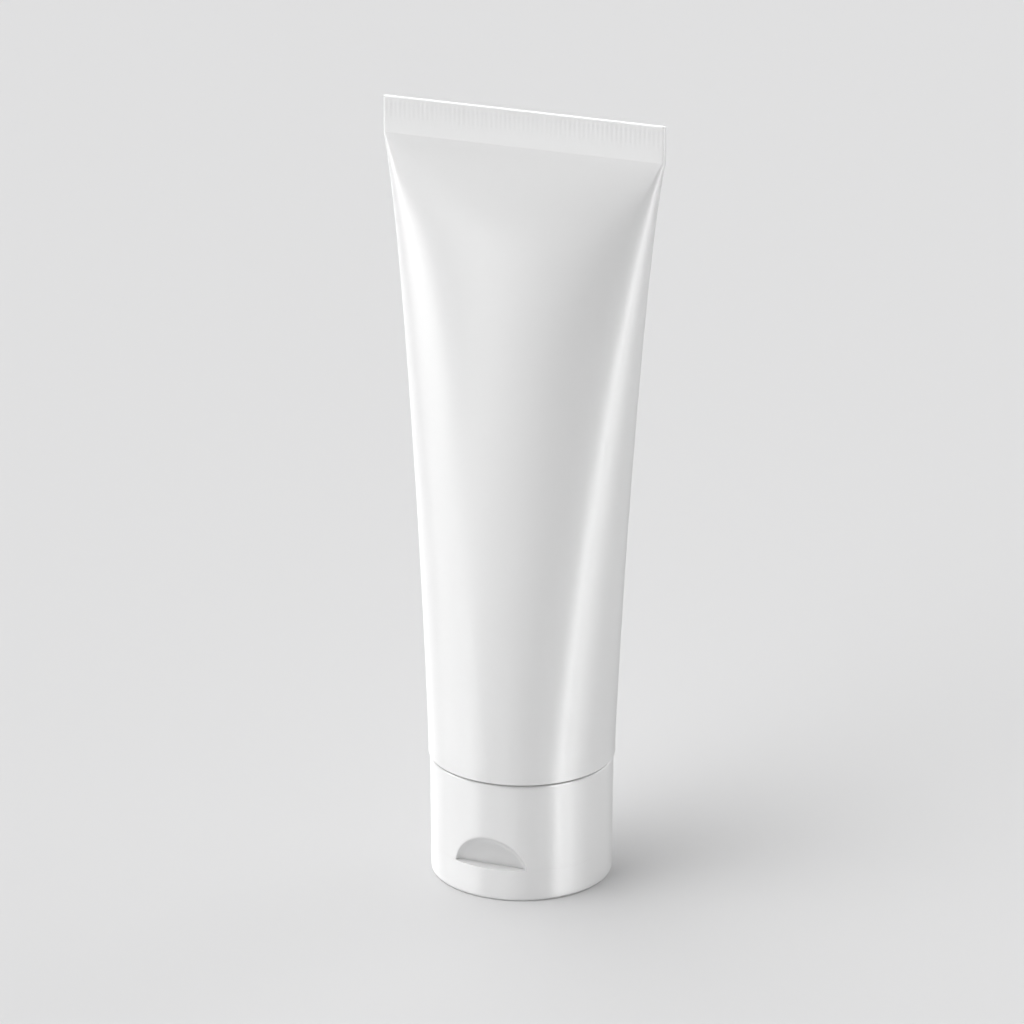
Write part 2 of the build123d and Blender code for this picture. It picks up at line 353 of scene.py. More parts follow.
@dataclass(frozen=True)
class PlasticFinish:
    """A plastic or a paste, from satin film to a moulded cap.

    Attributes:
        name: The material's name.
        grain_scale: Scale of the fine grain.
        wave_scale: Scale of the soft waviness.
        grain_share: How much of the relief is grain.
        relief: Height of the relief.
        tint: How much darker the mottling gets.
        colour: Base colour, linear.
        roughness: Middle roughness.
        coat: Weight of the clear, glossier outer layer.
        coat_roughness: Roughness of that layer.
        scatter: Weight of the light scattered inside.
        depth: How deep it scatters.
        refraction: Index of refraction.
    """

    name: str
    grain_scale: float
    wave_scale: float
    grain_share: float
    relief: float
    tint: float = 0.01
    colour: tuple[float, float, float] = (0.8, 0.8, 0.8)
    roughness: float = 0.3
    coat: float = 0.25
    coat_roughness: float = 0.2
    scatter: float = 0.1
    depth: float = 2 * MM
    refraction: float = 1.5

    def build(self) -> bpy.types.Material:
        """Builds the material once.

        Returns:
            The material.
        """
        if self.name in bpy.data.materials:
            return bpy.data.materials[self.name]
        material = bpy.data.materials.new(self.name)
        material.use_nodes = True
        nodes, links = material.node_tree.nodes, material.node_tree.links
        shader = nodes["Principled BSDF"]
        skin = nodes.new("ShaderNodeGroup")
        skin.node_tree = SkinGroup.get()
        bump = nodes.new("ShaderNodeBump")
        for node, values in (
            (skin, {"Colour": (*self.colour, 1), "Tint": self.tint, "Roughness": self.roughness,
                    "Grain Scale": self.grain_scale, "Wave Scale": self.wave_scale,
                    "Grain Share": self.grain_share}),
            (bump, {"Distance": self.relief, "Strength": 1.0}),
            (shader, {"Coat Weight": self.coat, "Coat Roughness": self.coat_roughness,
                      "Subsurface Weight": self.scatter, "Subsurface Scale": self.depth,
                      "Subsurface Radius": (1, 1, 1), "IOR": self.refraction}),
        ):
            for name, value in values.items():
                node.inputs[name].default_value = value
        links.new(skin.outputs["Colour"], shader.inputs["Base Color"])
        links.new(skin.outputs["Roughness"], shader.inputs["Roughness"])
        links.new(skin.outputs["Height"], bump.inputs["Height"])
        links.new(bump.outputs["Normal"], shader.inputs["Normal"])
        return material


SLEEVE_FILM = PlasticFinish("sleeve_film", 1800, 45, 0.04, 1.2e-5)
CAP_PLASTIC = PlasticFinish("cap_plastic", 2500, 90, 0.1, 1e-5)
HEAD_PLASTIC = PlasticFinish("head_plastic", 3000, 80, 0.6, 2e-5, 0.02, (0.8, 0.8, 0.79),
                             roughness=0.5, coat=0.0, coat_roughness=0.3)
CREAM_PASTE = PlasticFinish("cream_paste", 900, 60, 0.5, 1e-4, 0.05, (0.85, 0.62, 0.58),
                            roughness=0.35, coat=0.3, scatter=0.5, depth=3 * MM)


def apply_modifier(piece: bpy.types.Object, kind: str, **values: object) -> None:
    """Adds one modifier with its values and applies it.

    Args:
        piece: The piece, in object mode.
        kind: The modifier's type.
        values: Its settings by name.
    """
    bpy.context.view_layer.objects.active = piece
    modifier = piece.modifiers.new(kind.lower(), kind)
    for name, value in values.items():
        setattr(modifier, name, value)
    bpy.ops.object.modifier_apply(modifier=modifier.name)


def azimuth(co: Vector) -> float:
    """Angle round the axis in degrees: 0 at the front, positive towards +X."""
    return math.degrees(math.atan2(co.x, -co.y))


def dress(piece: bpy.types.Object, finish: PlasticFinish) -> None:
    """Gives a piece one finish all over."""
    piece.data.materials.clear()
    piece.data.materials.append(finish.build())


def stand_in(piece: bpy.types.Object, finish: PlasticFinish, body: Body, node: Node) -> None:
    """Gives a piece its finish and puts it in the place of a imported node.

    Args:
        piece: The finished piece.
        finish: Its material.
        body: The body that it rides on.
        node: The node that it stands for.
    """
    dress(piece, finish)
    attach(piece, body.value)
    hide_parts(node.value)


class Section(NamedTuple):
    """A level section through the sleeve: two straights joined by half circles."""

    half: float
    radius: float
    height: float


@dataclass
class Sleeve:
    """The squeezed sleeve: round at the cap, pressed flat and ribbed at the crimp.

    Attributes:
        low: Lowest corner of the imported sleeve.
        high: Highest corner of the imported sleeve.
        wall: Wall thickness.
        collar: Height of the round stretch over the collar.
        crimp: Height of the crimp band.
        end_gap: How far the open end stays off the solid's, so that the joint shows as a line.
        arc_steps: Segments in each round end.
        columns: Segments along each straight side.
        rows: Rows between the cap and the crimp.
        inner_rows: Rows of the inner wall.
        steady_share: Share of the pressing that grows evenly with the height.
        rising_share: Share that grows with its square.
        closing_power: Power of the height with which the rest closes the crimp.
        round_end_share: Least pressing, which keeps the straights' ends apart.
        seal_share: Share of the height at which the inner walls meet.
        bulge: Farthest that the filling may push the film out.
        fullness: Share of the way from the pressed section to an ellipse of its girth.
        fade_power: Power of the height with which the swell fades at the crimp.
        fold_share: Most of its depth that a fold is drawn in by.
        halvings: Steps in the search for an ellipse's depth.
        rib_height: Height of the ribs.
        rib_depth: Depth of the grooves between them.
        rib_margin: Smooth strip above them.
        rib_ramp: Height over which a groove runs out.
        rib_cuts: Cuts in each column for the grooves.
        groove_share: Share of a rib's pitch that the groove takes.
        edge_radius: Rounding of the film's cut edge.
        edge_steps: Rows in that rounding.
        smooth_angle: Edges that turn by less are shaded smooth.
    """

    low: Vector
    high: Vector
    wall: float = 0.5 * MM
    collar: float = 2.5 * MM
    crimp: float = 6.8 * MM
    end_gap: float = 0.12 * MM
    arc_steps: int = 28
    columns: int = 60
    rows: int = 56
    inner_rows: int = 28
    steady_share: float = 0.56
    rising_share: float = 0.33
    closing_power: int = 12
    round_end_share: float = 0.002
    seal_share: float = 0.985
    bulge: float = 4.0 * MM
    fullness: float = 0.9
    fade_power: int = 14
    fold_share: float = 0.4
    halvings: int = 30
    rib_height: float = 3.4 * MM
    rib_depth: float = 0.07 * MM
    rib_margin: float = 0.35 * MM
    rib_ramp: float = 0.15 * MM
    rib_cuts: int = 3
    groove_share: float = 0.2
    edge_radius: float = 0.2 * MM
    edge_steps: int = 4
    smooth_angle: float = 32.0

    @property
    def radius(self) -> float:
        """Radius of the round end, from the crimp's width and the constant girth."""
        return (self.high.x - self.wall) * 2 / math.pi + self.wall

    @property
    def end(self) -> float:
        """Height of the open end."""
        return self.low.z + self.end_gap

    @property
    def foot(self) -> float:
        """Height at which the round stretch ends and the pressing begins."""
        return self.low.z + self.collar

    @property
    def crimp_foot(self) -> float:
        """Height of the crimp band's lower edge."""
        return self.high.z - self.crimp

    @property
    def rib_top(self) -> float:
        """Height of the ribs' upper ends."""
        return self.high.z - self.rib_margin

    @property
    def rib_foot(self) -> float:
        """Height of the ribs' lower ends."""
        return self.rib_top - self.rib_height

    def flatness(self, share: float) -> float:
        """How far the sleeve is pressed flat at a share of its height.

        Args:
            share: 0 above the collar, 1 at the crimp band.

        Returns:
            0 for round and nearly 1 for flat.
        """
        closed = 1 - self.wall / self.radius
        closing = closed - self.steady_share - self.rising_share
        steady = self.steady_share * share + self.rising_share * share**2
        pressed = steady + closing * share**self.closing_power
        return max(pressed, self.round_end_share)

    def section(self, share: float, inset: float) -> Section:
        """The section at a share of the height between collar and crimp.

        Args:
            share: Share of the height.
            inset: How far the section lies inside the outer wall.

        Returns:
            The section.
        """
        radius = self.radius * (1 - self.flatness(share))
        height = self.foot + share * (self.crimp_foot - self.foot)
        return Section(math.pi * (self.radius - radius) / 2, radius - inset, height)

    def reshape(self, bench: Bench, old: Section, new: Section) -> None:
        """Turns the selected loop from one section into the next: ends first, then the sides.

        Args:
            bench: The bench with the loop selected, already at the new height.
            old: The section that the loop has.
            new: The section that it gets.
        """
        loop = bench.picked()
        ratio = new.radius / old.radius
        for side in (-1, 1):
            bench.pick(lambda co: co.x * side >= old.half - TINY, loop)
            bench.scale(ratio, ratio, 1, (side * old.half, 0, new.height))
            bench.move(side * (new.half - old.half))
        bench.pick(lambda co: True, self.side_members(bench, loop, old))
        bench.scale(new.half / old.half, ratio, 1, (0, 0, new.height))
        bench.pick(lambda co: True, loop)

    def side_members(self, bench: Bench, loop: list[int], old: Section) -> list[int]:
        """Indices in the loop that are still at the old section's straight sides.

        Args:
            bench: The bench with the sleeve.
            loop: Indices of the loop's vertices.
            old: The section that the loop has.

        Returns:
            The indices of the sides.
        """
        work = bench.mesh()
        work.verts.ensure_lookup_table()
        places = ((index, work.verts[index].co) for index in loop)
        return [index for index, co in places
                if abs(abs(co.y) - old.radius) < 10 * TINY and abs(co.x) < old.half - TINY]

    def ring(self, bench: Bench) -> None:
        """Makes the first loop: a circle cut in half, pulled apart a little and joined by straights."""
        first = self.section(0, 0)
        bench.pick(lambda co: co.x < -TINY)
        bpy.ops.mesh.delete(type="VERT")
        bench.pick(lambda co: True)
        bench.move(first.half)
        bpy.ops.mesh.duplicate()
        bench.scale(-1, 1, 1, (0, 0, self.low.z))
        near_end = first.radius * math.cos(math.pi / self.arc_steps / 2)
        for side in (-1, 1):
            bench.pick(lambda co: co.y * side > near_end)
            bpy.ops.mesh.edge_face_add()
            bpy.ops.mesh.subdivide(number_cuts=self.columns - 1)
        bench.pick(lambda co: True)

    def climb(self, bench: Bench, inset: float, shares: list[float], old: Section) -> Section:
        """Extrudes the selected loop up through a list of sections.

        Args:
            bench: The bench with the loop selected.
            inset: How far the wall lies inside the outer one.
            shares: Shares of the height for the sections.
            old: The section that the loop has.

        Returns:
            The last section.
        """
        for share in shares:
            new = self.section(share, inset)
            bench.extrude(z=new.height - old.height)
            self.reshape(bench, old, new)
            old = new
        return old

    @staticmethod
    def shares(top: float, count: int) -> list[float]:
        """Shares of the height, closer together towards the crimp."""
        return [top * math.sin(math.pi / 2 * step / count) for step in range(count + 1)]

    def build(self) -> bpy.types.Object:
        """Models the sleeve from its first loop to the rounded crimp.

        Returns:
            The sleeve.
        """
        Bench.clear()
        bpy.ops.mesh.primitive_circle_add(
            vertices=2 * self.arc_steps, radius=self.radius * (1 - self.round_end_share),
            location=(0, 0, self.end))
        bench = Bench.take("sleeve_skin")
        self.ring(bench)
        start = self.section(0, 0)._replace(height=self.end)
        top = self.climb(bench, 0, self.shares(1, self.rows), start)
        self.crimp_band(bench, top)
        self.inside(bench, start)
        self.ribs(bench, top)
        piece = bench.finish(self.smooth_angle)
        self.swell(piece)
        return piece

    def crimp_band(self, bench: Bench, top: Section) -> None:
        """Extrudes the band's rows, rounds the film's cut edge and closes it.

        Args:
            bench: The bench with the sleeve's upper loop selected.
            top: The section that the loop has.
        """
        edge, height, thickness = self.edge_radius, top.height, top.radius
        ramps = (self.rib_foot + self.rib_ramp, self.rib_top - self.rib_ramp)
        for level in (self.rib_foot, *ramps, self.rib_top, self.high.z - edge):
            bench.extrude(z=level - height)
            height = level
        for step in range(1, self.edge_steps + 1):
            turn = math.pi / 2 * step / self.edge_steps
            level = self.high.z - edge * (1 - math.sin(turn))
            thinner = top.radius - edge * (1 - math.cos(turn))
            bench.extrude(z=level - height)
            bench.scale(y=thinner / thickness)
            height, thickness = level, thinner
        self.pinch(bench)

    @staticmethod
    def pinch(bench: Bench) -> None:
        """Closes the selected loop along its middle line."""
        bench.extrude()
        bench.scale(y=0)
        bench.weld(CLOSE)

    def inside(self, bench: Bench, start: Section) -> None:
        """Turns the lower edge in and runs the inner wall up to the seal, where it closes.

        Args:
            bench: The bench with the sleeve.
            start: The section of its lower edge.
        """
        bench.pick(lambda co: co.z < self.end + TINY)
        inner = start._replace(radius=start.radius - self.wall)
        bench.extrude()
        self.reshape(bench, start, inner)
        self.climb(bench, self.wall, self.shares(self.seal_share, self.inner_rows), inner)
        self.pinch(bench)

    def ribs(self, bench: Bench, top: Section) -> None:
        """Divides the ribbed rows into finer columns and presses the grooves in from both sides.

        Args:
            bench: The bench with the sleeve.
            top: The section of the crimp band.
        """
        half, radius = top.half, top.radius

        def across(a: Vector, b: Vector) -> bool:
            level = abs(a.z - b.z) < TINY and self.rib_foot - TINY < a.z < self.rib_top + TINY
            on_side = max(abs(a.x), abs(b.x)) <= half + TINY and min(abs(a.y), abs(b.y)) > radius - TINY
            return level and on_side

        bench.pick_edges(across)
        bpy.ops.mesh.subdivide(number_cuts=self.rib_cuts)
        bpy.ops.mesh.select_mode(type="VERT")
        pitch = 2 * half / self.columns
        low, high = self.rib_foot + self.rib_ramp / 2, self.rib_top - self.rib_ramp / 2

        def groove(co: Vector) -> bool:
            if not (low < co.z < high and abs(co.x) < half and abs(co.y) > radius - TINY):
                return False
            return abs((co.x + half) / pitch % 1 - 0.5) < self.groove_share / 2

        bench.pick(groove)
        bench.scale(y=(radius - self.rib_depth) / radius)

    def ellipse_depth(self, half_width: float) -> float:
        """Half the depth of the ellipse that has the sleeve's girth, by Ramanujan's formula.

        Args:
            half_width: Half its width.

        Returns:
            Half its depth.
        """
        low, high = 0.0, self.radius
        for _ in range(self.halvings):
            depth = (low + high) / 2
            root = math.sqrt((3 * half_width + depth) * (half_width + 3 * depth))
            if 3 * (half_width + depth) - root < 2 * self.radius:
                low = depth
            else:
                high = depth
        return low

    def swelling(self, share: float, across: float) -> float:
        """How far the filling rounds a pressed section out, or in towards its folds.

        Args:
            share: Share of the height between collar and crimp.
            across: Distance from the middle of the section.

        Returns:
            The distance outwards.
        """
        half, radius, _ = self.section(share, 0)
        half_width = half + radius
        if across >= half_width:
            return 0.0
        pressed = math.sqrt(radius**2 - max(across - half, 0) ** 2)
        full = self.ellipse_depth(half_width) * math.sqrt(1 - (across / half_width) ** 2)
        return (full - pressed) * self.fullness * (1 - share**self.fade_power)

    def swell(self, piece: bpy.types.Object) -> None:
        """Rounds front and back as the filling holds them, with a displacement each way.

        Args:
            piece: The sleeve, in object mode.
        """
        for face, side in (("front", -1), ("back", 1)):
            for way, sign in (("out", 1), ("in", -1)):
                group = piece.vertex_groups.new(name=f"{face}_{way}")
                for vertex in piece.data.vertices:
                    share = (vertex.co.z - self.foot) / (self.crimp_foot - self.foot)
                    if not 0 < share < 1 or vertex.co.y * side <= 0:
                        continue
                    reach = min(self.swelling(share, abs(vertex.co.x)) * sign, self.bulge)
                    if sign < 0:
                        reach = min(reach, abs(vertex.co.y) * self.fold_share)
                    if reach > 0:
                        group.add([vertex.index], reach / self.bulge, "REPLACE")
                modifier = piece.modifiers.new(group.name, "DISPLACE")
                modifier.direction = "Y"
                modifier.mid_level = 0
                modifier.strength = side * sign * self.bulge
                modifier.vertex_group = group.name
            for modifier in list(piece.modifiers):
                bpy.ops.object.modifier_apply(modifier=modifier.name)

    def dress(self, piece: bpy.types.Object) -> None:
        """Gives the sleeve its film finish and its place in the frame."""
        stand_in(piece, SLEEVE_FILM, Body.TUBE, Node.SLEEVE)


@dataclass
class CapOutline:
    """Sizes that the cap's base and lid share, in millimetres.

    Attributes:
        height: Height of the closed cap.
        top_radius: Outer radius at the cap's top.
        draft: How much the radius shrinks down to the floor.
        wall: Wall thickness.
        parting: Height of the parting plane between lid and base.
        lip_angle: Half the angle of the lid's lip and of the wall behind the recess, in degrees.
        hinge_flat: Distance of the flat behind the hinge from the axis.
        edge: Rounding of the moulded edges.
        sharp_angle: Edges that turn by more degrees are rounded.
        smooth_angle: Edges that turn by fewer degrees are shaded smooth.
        segments: Segments round the axis.
    """

    height: float = 23.3
    top_radius: float = 17.2
    draft: float = 0.17
    wall: float = 1.3
    parting: float = 6.2
    lip_angle: float = 29.9
    hinge_flat: float = 16.195
    edge: float = 0.035
    sharp_angle: float = 38.0
    smooth_angle: float = 30.0
    segments: int = 192

    def radius(self, height: float) -> float:
        """Outer radius at a height."""
        return self.top_radius - self.draft * (1 - height / self.height)

    def ease_edges(self, piece: bpy.types.Object) -> None:
        """Rounds every sharp edge a little and shades the piece.

        Args:
            piece: The base or the lid, in object mode.
        """
        apply_modifier(piece, "BEVEL", limit_method="ANGLE", angle_limit=math.radians(self.sharp_angle),
                       width=self.edge * MM, segments=2, use_clamp_overlap=True)
        Bench.clear()
        piece.select_set(True)
        bpy.context.view_layer.objects.active = piece
        bpy.ops.object.shade_smooth_by_angle(angle=math.radians(self.smooth_angle))


@dataclass
class CapBase(CapOutline):
    """The part of the cap that stays on the tube: skirt, deck, spout, finger recess and hinge flat.

    A profile gives the radius and the height of each ring.

    Attributes:
        low_levels: Heights of the skirt's rings beside the recess.
        high_levels: Heights of its rings over the recess.
        window_top: Height of the window that is cut for the recess.
        window_angle: Half its angle, in degrees.
        window_level: Height at which its width is taken.
        top_round, top_chord, top_break: Outer rounding, its middle ring and inner break of the rim.
        inside: Profile of the inner wall, the deck and the skirt that snaps over the neck.
        spout: Profile of the spigot, the bore and the spout.
        ring: Profile of the ring that locates the lid, with its bead.
        arch_half_width, arch_height: Size of the finger recess.
        arch_steps: Segments of its arch.
        apron: Size of the ring round the arch, as a share of the arch.
        floor_width_share: Width of the recess's floor, as a share of its mouth.
        floor_height: Height of the floor.
        floor_reach: Distance of the floor's lower edge from the axis.
        floor_lean: How far the floor leans back, in degrees.
        rim_round, rim_steps: Rounding of the recess's rim.
        floor_round, floor_steps: Rounding at the foot of its wall.
        backing: Radius of the wall behind the recess.
        backing_from: Radius of that wall where it isn't moved in.
        backing_levels, backing_radii: Where its vertices lie.
        ledge: Height up to which the hinge flat runs.
        skin, apron_face, rim_face: Least radius of a vertex on the skirt, apron and rim.
        rim_front: Least distance of the rim's vertices to the front.
        near, frame_near: How near to its place a vertex is taken to be on it.
        seam: Distance below which the recess's vertices are joined.
        seed: Size of the plane that becomes the arch's first vertex.
        join_cuts: Rings between window and apron.
    """

    low_levels: tuple[float, ...] = (6.2, 7.0, 7.8, 8.6, 9.4, 10.2, 11.0, 11.8, 12.55, 12.95)
    high_levels: tuple[float, ...] = (15, 17, 19, 21, 22.6)
    window_top: float = 13.5
    window_angle: float = 28.125
    window_level: float = 10.0
    top_round: float = 0.2
    top_chord: float = 0.06
    top_break: float = 0.1
    inside: Profile = (
        (15.85, 15.2), (15.8, 13.9), (15.77, 10.5), (15.75, 7.5), (8.85, 7.5), (8.85, 19.2), (7.65, 19.2),
        (7.65, 7.5))
    spout: Profile = (
        (3.05, 7.5), (3.05, 9.6), (2.0, 9.6), (2.0, 3.1), (2.1, 2.9), (2.3, 2.8), (2.8, 2.8), (3.0, 2.9), (3.1, 3.1),
        (3.4, 6.2))
    ring: Profile = (
        (13.025, 6.2), (13.025, 5.0), (14.025, 5.0), (14.025, 5.38), (14.145, 5.5), (14.025, 5.62), (14.025, 6.2))
    arch_half_width: float = 7.1
    arch_height: float = 6.1
    arch_steps: int = 50
    apron: float = 1.09
    floor_width_share: float = 0.9
    floor_height: float = 5.27
    floor_reach: float = 14.675
    floor_lean: float = 14.9
    rim_round: float = 0.16
    rim_steps: int = 3
    floor_round: float = 0.55
    floor_steps: int = 4
    backing: float = 13.575
    backing_from: float = 15.78
    backing_levels: tuple[float, float] = (7.4, 14.0)
    backing_radii: tuple[float, float] = (15.0, 16.0)
    ledge: float = 12.6
    skin: float = 16.5
    apron_face: float = 16.2
    rim_face: float = 16.9
    rim_front: float = 15.2
    near: float = 0.005
    frame_near: float = 0.05
    seam: float = 0.001
    seed: float = 0.1
    join_cuts: int = 3

    @property
    def front(self) -> float:
        """Y of the skirt's front at the parting plane, in metres."""
        return -self.radius(self.parting) * MM

    @property
    def window_side(self) -> float:
        """Half the window's width."""
        return self.radius(self.window_level) * math.sin(math.radians(self.window_angle))

    @property
    def arch_radius(self) -> float:
        """Radius of the recess's arch."""
        return (self.arch_half_width**2 + self.arch_height**2) / (2 * self.arch_height)

    @property
    def floor_stretch(self) -> float:
        """Height of the leaning floor along its slope, as a share of the arch's height."""
        return self.floor_height / self.arch_height / math.cos(math.radians(self.floor_lean))

    def off_arch(self, x: float, up: float) -> float:
        """How far a place lies outside the arch's circle, in metres; up counts from the parting plane."""
        return math.hypot(x, up + (self.arch_radius - self.arch_height) * MM) - self.arch_radius * MM

    def outline(self) -> list[tuple[float, float]]:
        """Rings from the parting edge over the skirt, through the inside and back under the deck."""
        top, rim, inner = self.height, self.top_radius, self.top_radius - self.wall
        levels = (*self.low_levels, self.window_top, *self.high_levels)
        skirt = [(self.radius(level), level) for level in levels]
        turn = [(rim, top - self.top_round), (rim - self.top_chord, top - self.top_chord),
                (rim - self.top_round, top), (inner + self.top_break, top), (inner, top - self.top_break)]
        return [*skirt, *turn, *self.inside, *self.spout, *self.ring]

    def build(self) -> bpy.types.Object:
        """Models the base: turned body, finger recess, hinge flat and eased edges.

        Returns:
            The base.
        """
        form = [(self.radius(level), level) for level in (self.parting - 1, self.window_top + 1)]
        guide = Bench.lathe("skirt_form", form, self.segments).piece
        bench = Bench.lathe("cap_base_skin", self.outline(), self.segments)
        self.back_of_recess(bench)
        self.recess(bench)
        self.join_window(bench)
        self.lay_on_skirt(bench, guide)
        self.round_recess(bench)
        self.hinge_recess(bench)
        self.underside(bench)
        piece = bench.finish(self.smooth_angle)
        self.ease_edges(piece)
        bpy.data.objects.remove(guide)
        return piece

    def back_of_recess(self, bench: Bench) -> None:
        """Moves the inner wall in behind the recess."""
        bpy.ops.mesh.select_mode(type="VERT")
        low, high = (level * MM for level in self.backing_levels)
        inner, outer = (radius * MM for radius in self.backing_radii)

        def on_wall(co: Vector) -> bool:
            return low < co.z < high and inner < math.hypot(co.x, co.y) < outer

        bench.pick(lambda co: on_wall(co) and abs(azimuth(co)) < self.lip_angle)
        share = self.backing / self.backing_from
        bench.scale(share, share, 1)

    def recess(self, bench: Bench) -> None:
        """Opens a window in the skirt and makes the recess's apron, wall and leaning floor."""
        base, front = self.parting * MM, self.front

        def in_window(co: Vector) -> bool:
            on_skirt = math.hypot(co.x, co.y) > self.skin * MM and base < co.z < self.window_top * MM
            return on_skirt and abs(azimuth(co)) < self.window_angle

        bench.pick_faces(in_window)
        bpy.ops.mesh.delete(type="FACE")
        bpy.ops.mesh.select_mode(type="VERT")
        bpy.ops.mesh.select_all(action="DESELECT")
        corner = (self.arch_half_width * MM, front, base)
        bpy.ops.mesh.primitive_plane_add(size=self.seed * MM, location=corner)
        bpy.ops.mesh.merge(type="CENTER")
        sunk = self.arch_radius - self.arch_height
        start = math.asin(sunk / self.arch_radius)
        bpy.ops.mesh.spin(steps=self.arch_steps, angle=2 * start - math.pi,
                          center=(0, front, base - sunk * MM), axis=(0, -1, 0))

        def on_front(co: Vector) -> bool:
            level = abs(co.y - front) < TINY and co.z > base - TINY
            return level and self.off_arch(co.x, co.z - base) < CLOSE

        bench.pick(on_front)
        bench.extrude()
        bench.scale(self.apron, 1, self.apron, (0, front, base))
        floor = (0, -self.floor_reach * MM, base)
        bench.pick(on_front)
        bench.extrude()
        bench.move(y=floor[1] - front)
        bench.scale(self.floor_width_share, 1, self.floor_stretch, floor)
        lean = math.radians(self.floor_lean)
        bpy.ops.transform.rotate(value=-lean, orient_axis="X", center_override=floor)
        bench.extrude()
        bench.scale(1, 0, 0, floor)
        bpy.ops.mesh.select_all(action="SELECT")
        bench.weld(self.seam * MM)

    def join_window(self, bench: Bench) -> None:
        """Bridges the window's edge and the apron's outer arch."""
        base, top, front = self.parting * MM, self.window_top * MM, self.front
        side, near = self.window_side * MM, self.frame_near * MM

        def on_frame(co: Vector) -> bool:
            on_skirt = math.hypot(co.x, co.y) > self.skin * MM and abs(co.y - front) > TINY
            upright = abs(abs(co.x) - side) < near and base - TINY < co.z < top + TINY
            level = abs(co.z - top) < TINY and abs(co.x) < side + near
            return on_skirt and co.y < 0 and (upright or level)

        def on_apron(co: Vector) -> bool:
            away = self.off_arch(co.x / self.apron, (co.z - base) / self.apron)
            return abs(co.y - front) < TINY and abs(away) < CLOSE

        bench.pick_rim(lambda co: on_frame(co) or on_apron(co))
        bpy.ops.mesh.bridge_edge_loops(number_cuts=self.join_cuts, interpolation="LINEAR")

    def lay_on_skirt(self, bench: Bench, guide: bpy.types.Object) -> None:
        """Projects the apron on to the round skirt along Y.

        Args:
            bench: The bench with the base.
            guide: A plain skirt of the same outline.
        """
        bpy.ops.mesh.select_mode(type="VERT")
        base, near = self.parting * MM, self.near * MM
        side, top = self.window_side * MM - near, self.window_top * MM - near

        def loose(co: Vector) -> bool:
            on_skirt = co.y < 0 and math.hypot(co.x, co.y) > self.apron_face * MM
            in_window = abs(co.x) < side and base - near < co.z < top
            return on_skirt and in_window and self.off_arch(co.x, co.z - base) > -near

        bench.pick(loose)
        chosen = bench.picked()
        bpy.ops.object.mode_set(mode="OBJECT")
        group = bench.piece.vertex_groups.new(name="on_skirt")
        group.add(chosen, 1.0, "REPLACE")
        apply_modifier(bench.piece, "SHRINKWRAP", target=guide, wrap_method="PROJECT", use_project_y=True,
                       use_negative_direction=True, use_positive_direction=True, vertex_group="on_skirt")
        bpy.ops.object.mode_set(mode="EDIT")

    def round_recess(self, bench: Bench) -> None:
        """Rounds the recess's rim and the foot of its wall."""
        base, near, reach = self.parting * MM, self.near * MM, self.floor_reach * MM

        def on_rim(co: Vector) -> bool:
            on_skirt = co.y < -self.rim_front * MM and math.hypot(co.x, co.y) > self.rim_face * MM
            return on_skirt and abs(self.off_arch(co.x, co.z - base)) < near

        def on_floor(co: Vector) -> bool:
            up = math.hypot(co.z - base, co.y + reach) / self.floor_stretch
            inside = -self.skin * MM < co.y < near - reach and abs(co.x) < self.arch_half_width * MM
            return inside and abs(self.off_arch(co.x / self.floor_width_share, up)) < near

        rim, floor = (on_rim, self.rim_round, self.rim_steps), (on_floor, self.floor_round, self.floor_steps)
        for chosen, offset, steps in (rim, floor):
            count = bench.pick_edges(lambda a, b: chosen(a) and chosen(b))
            LOG.info("recess edge: %d edges", count)
            bpy.ops.mesh.bevel(offset=offset * MM, segments=steps, profile=0.5)

    def hinge_recess(self, bench: Bench) -> None:
        """Flattens the skirt's back where the open lid turns."""
        bpy.ops.mesh.select_mode(type="VERT")
        flat = self.hinge_flat * MM
        bench.pick(lambda co: co.y > flat and co.z < self.ledge * MM)
        bench.scale(1, 0, 1, (0, flat, 0))

    def underside(self, bench: Bench) -> None:
        """Fills the parting plane between the locating ring and the skirt."""
        bench.pick_rim(lambda co: abs(co.z - self.parting * MM) < CLOSE)
        bpy.ops.mesh.bridge_edge_loops()
        bpy.ops.mesh.select_mode(type="VERT")

    def dress(self, piece: bpy.types.Object) -> None:
        """Gives the base its moulded finish and its place in the frame."""
        stand_in(piece, CAP_PLASTIC, Body.TUBE, Node.BASE)


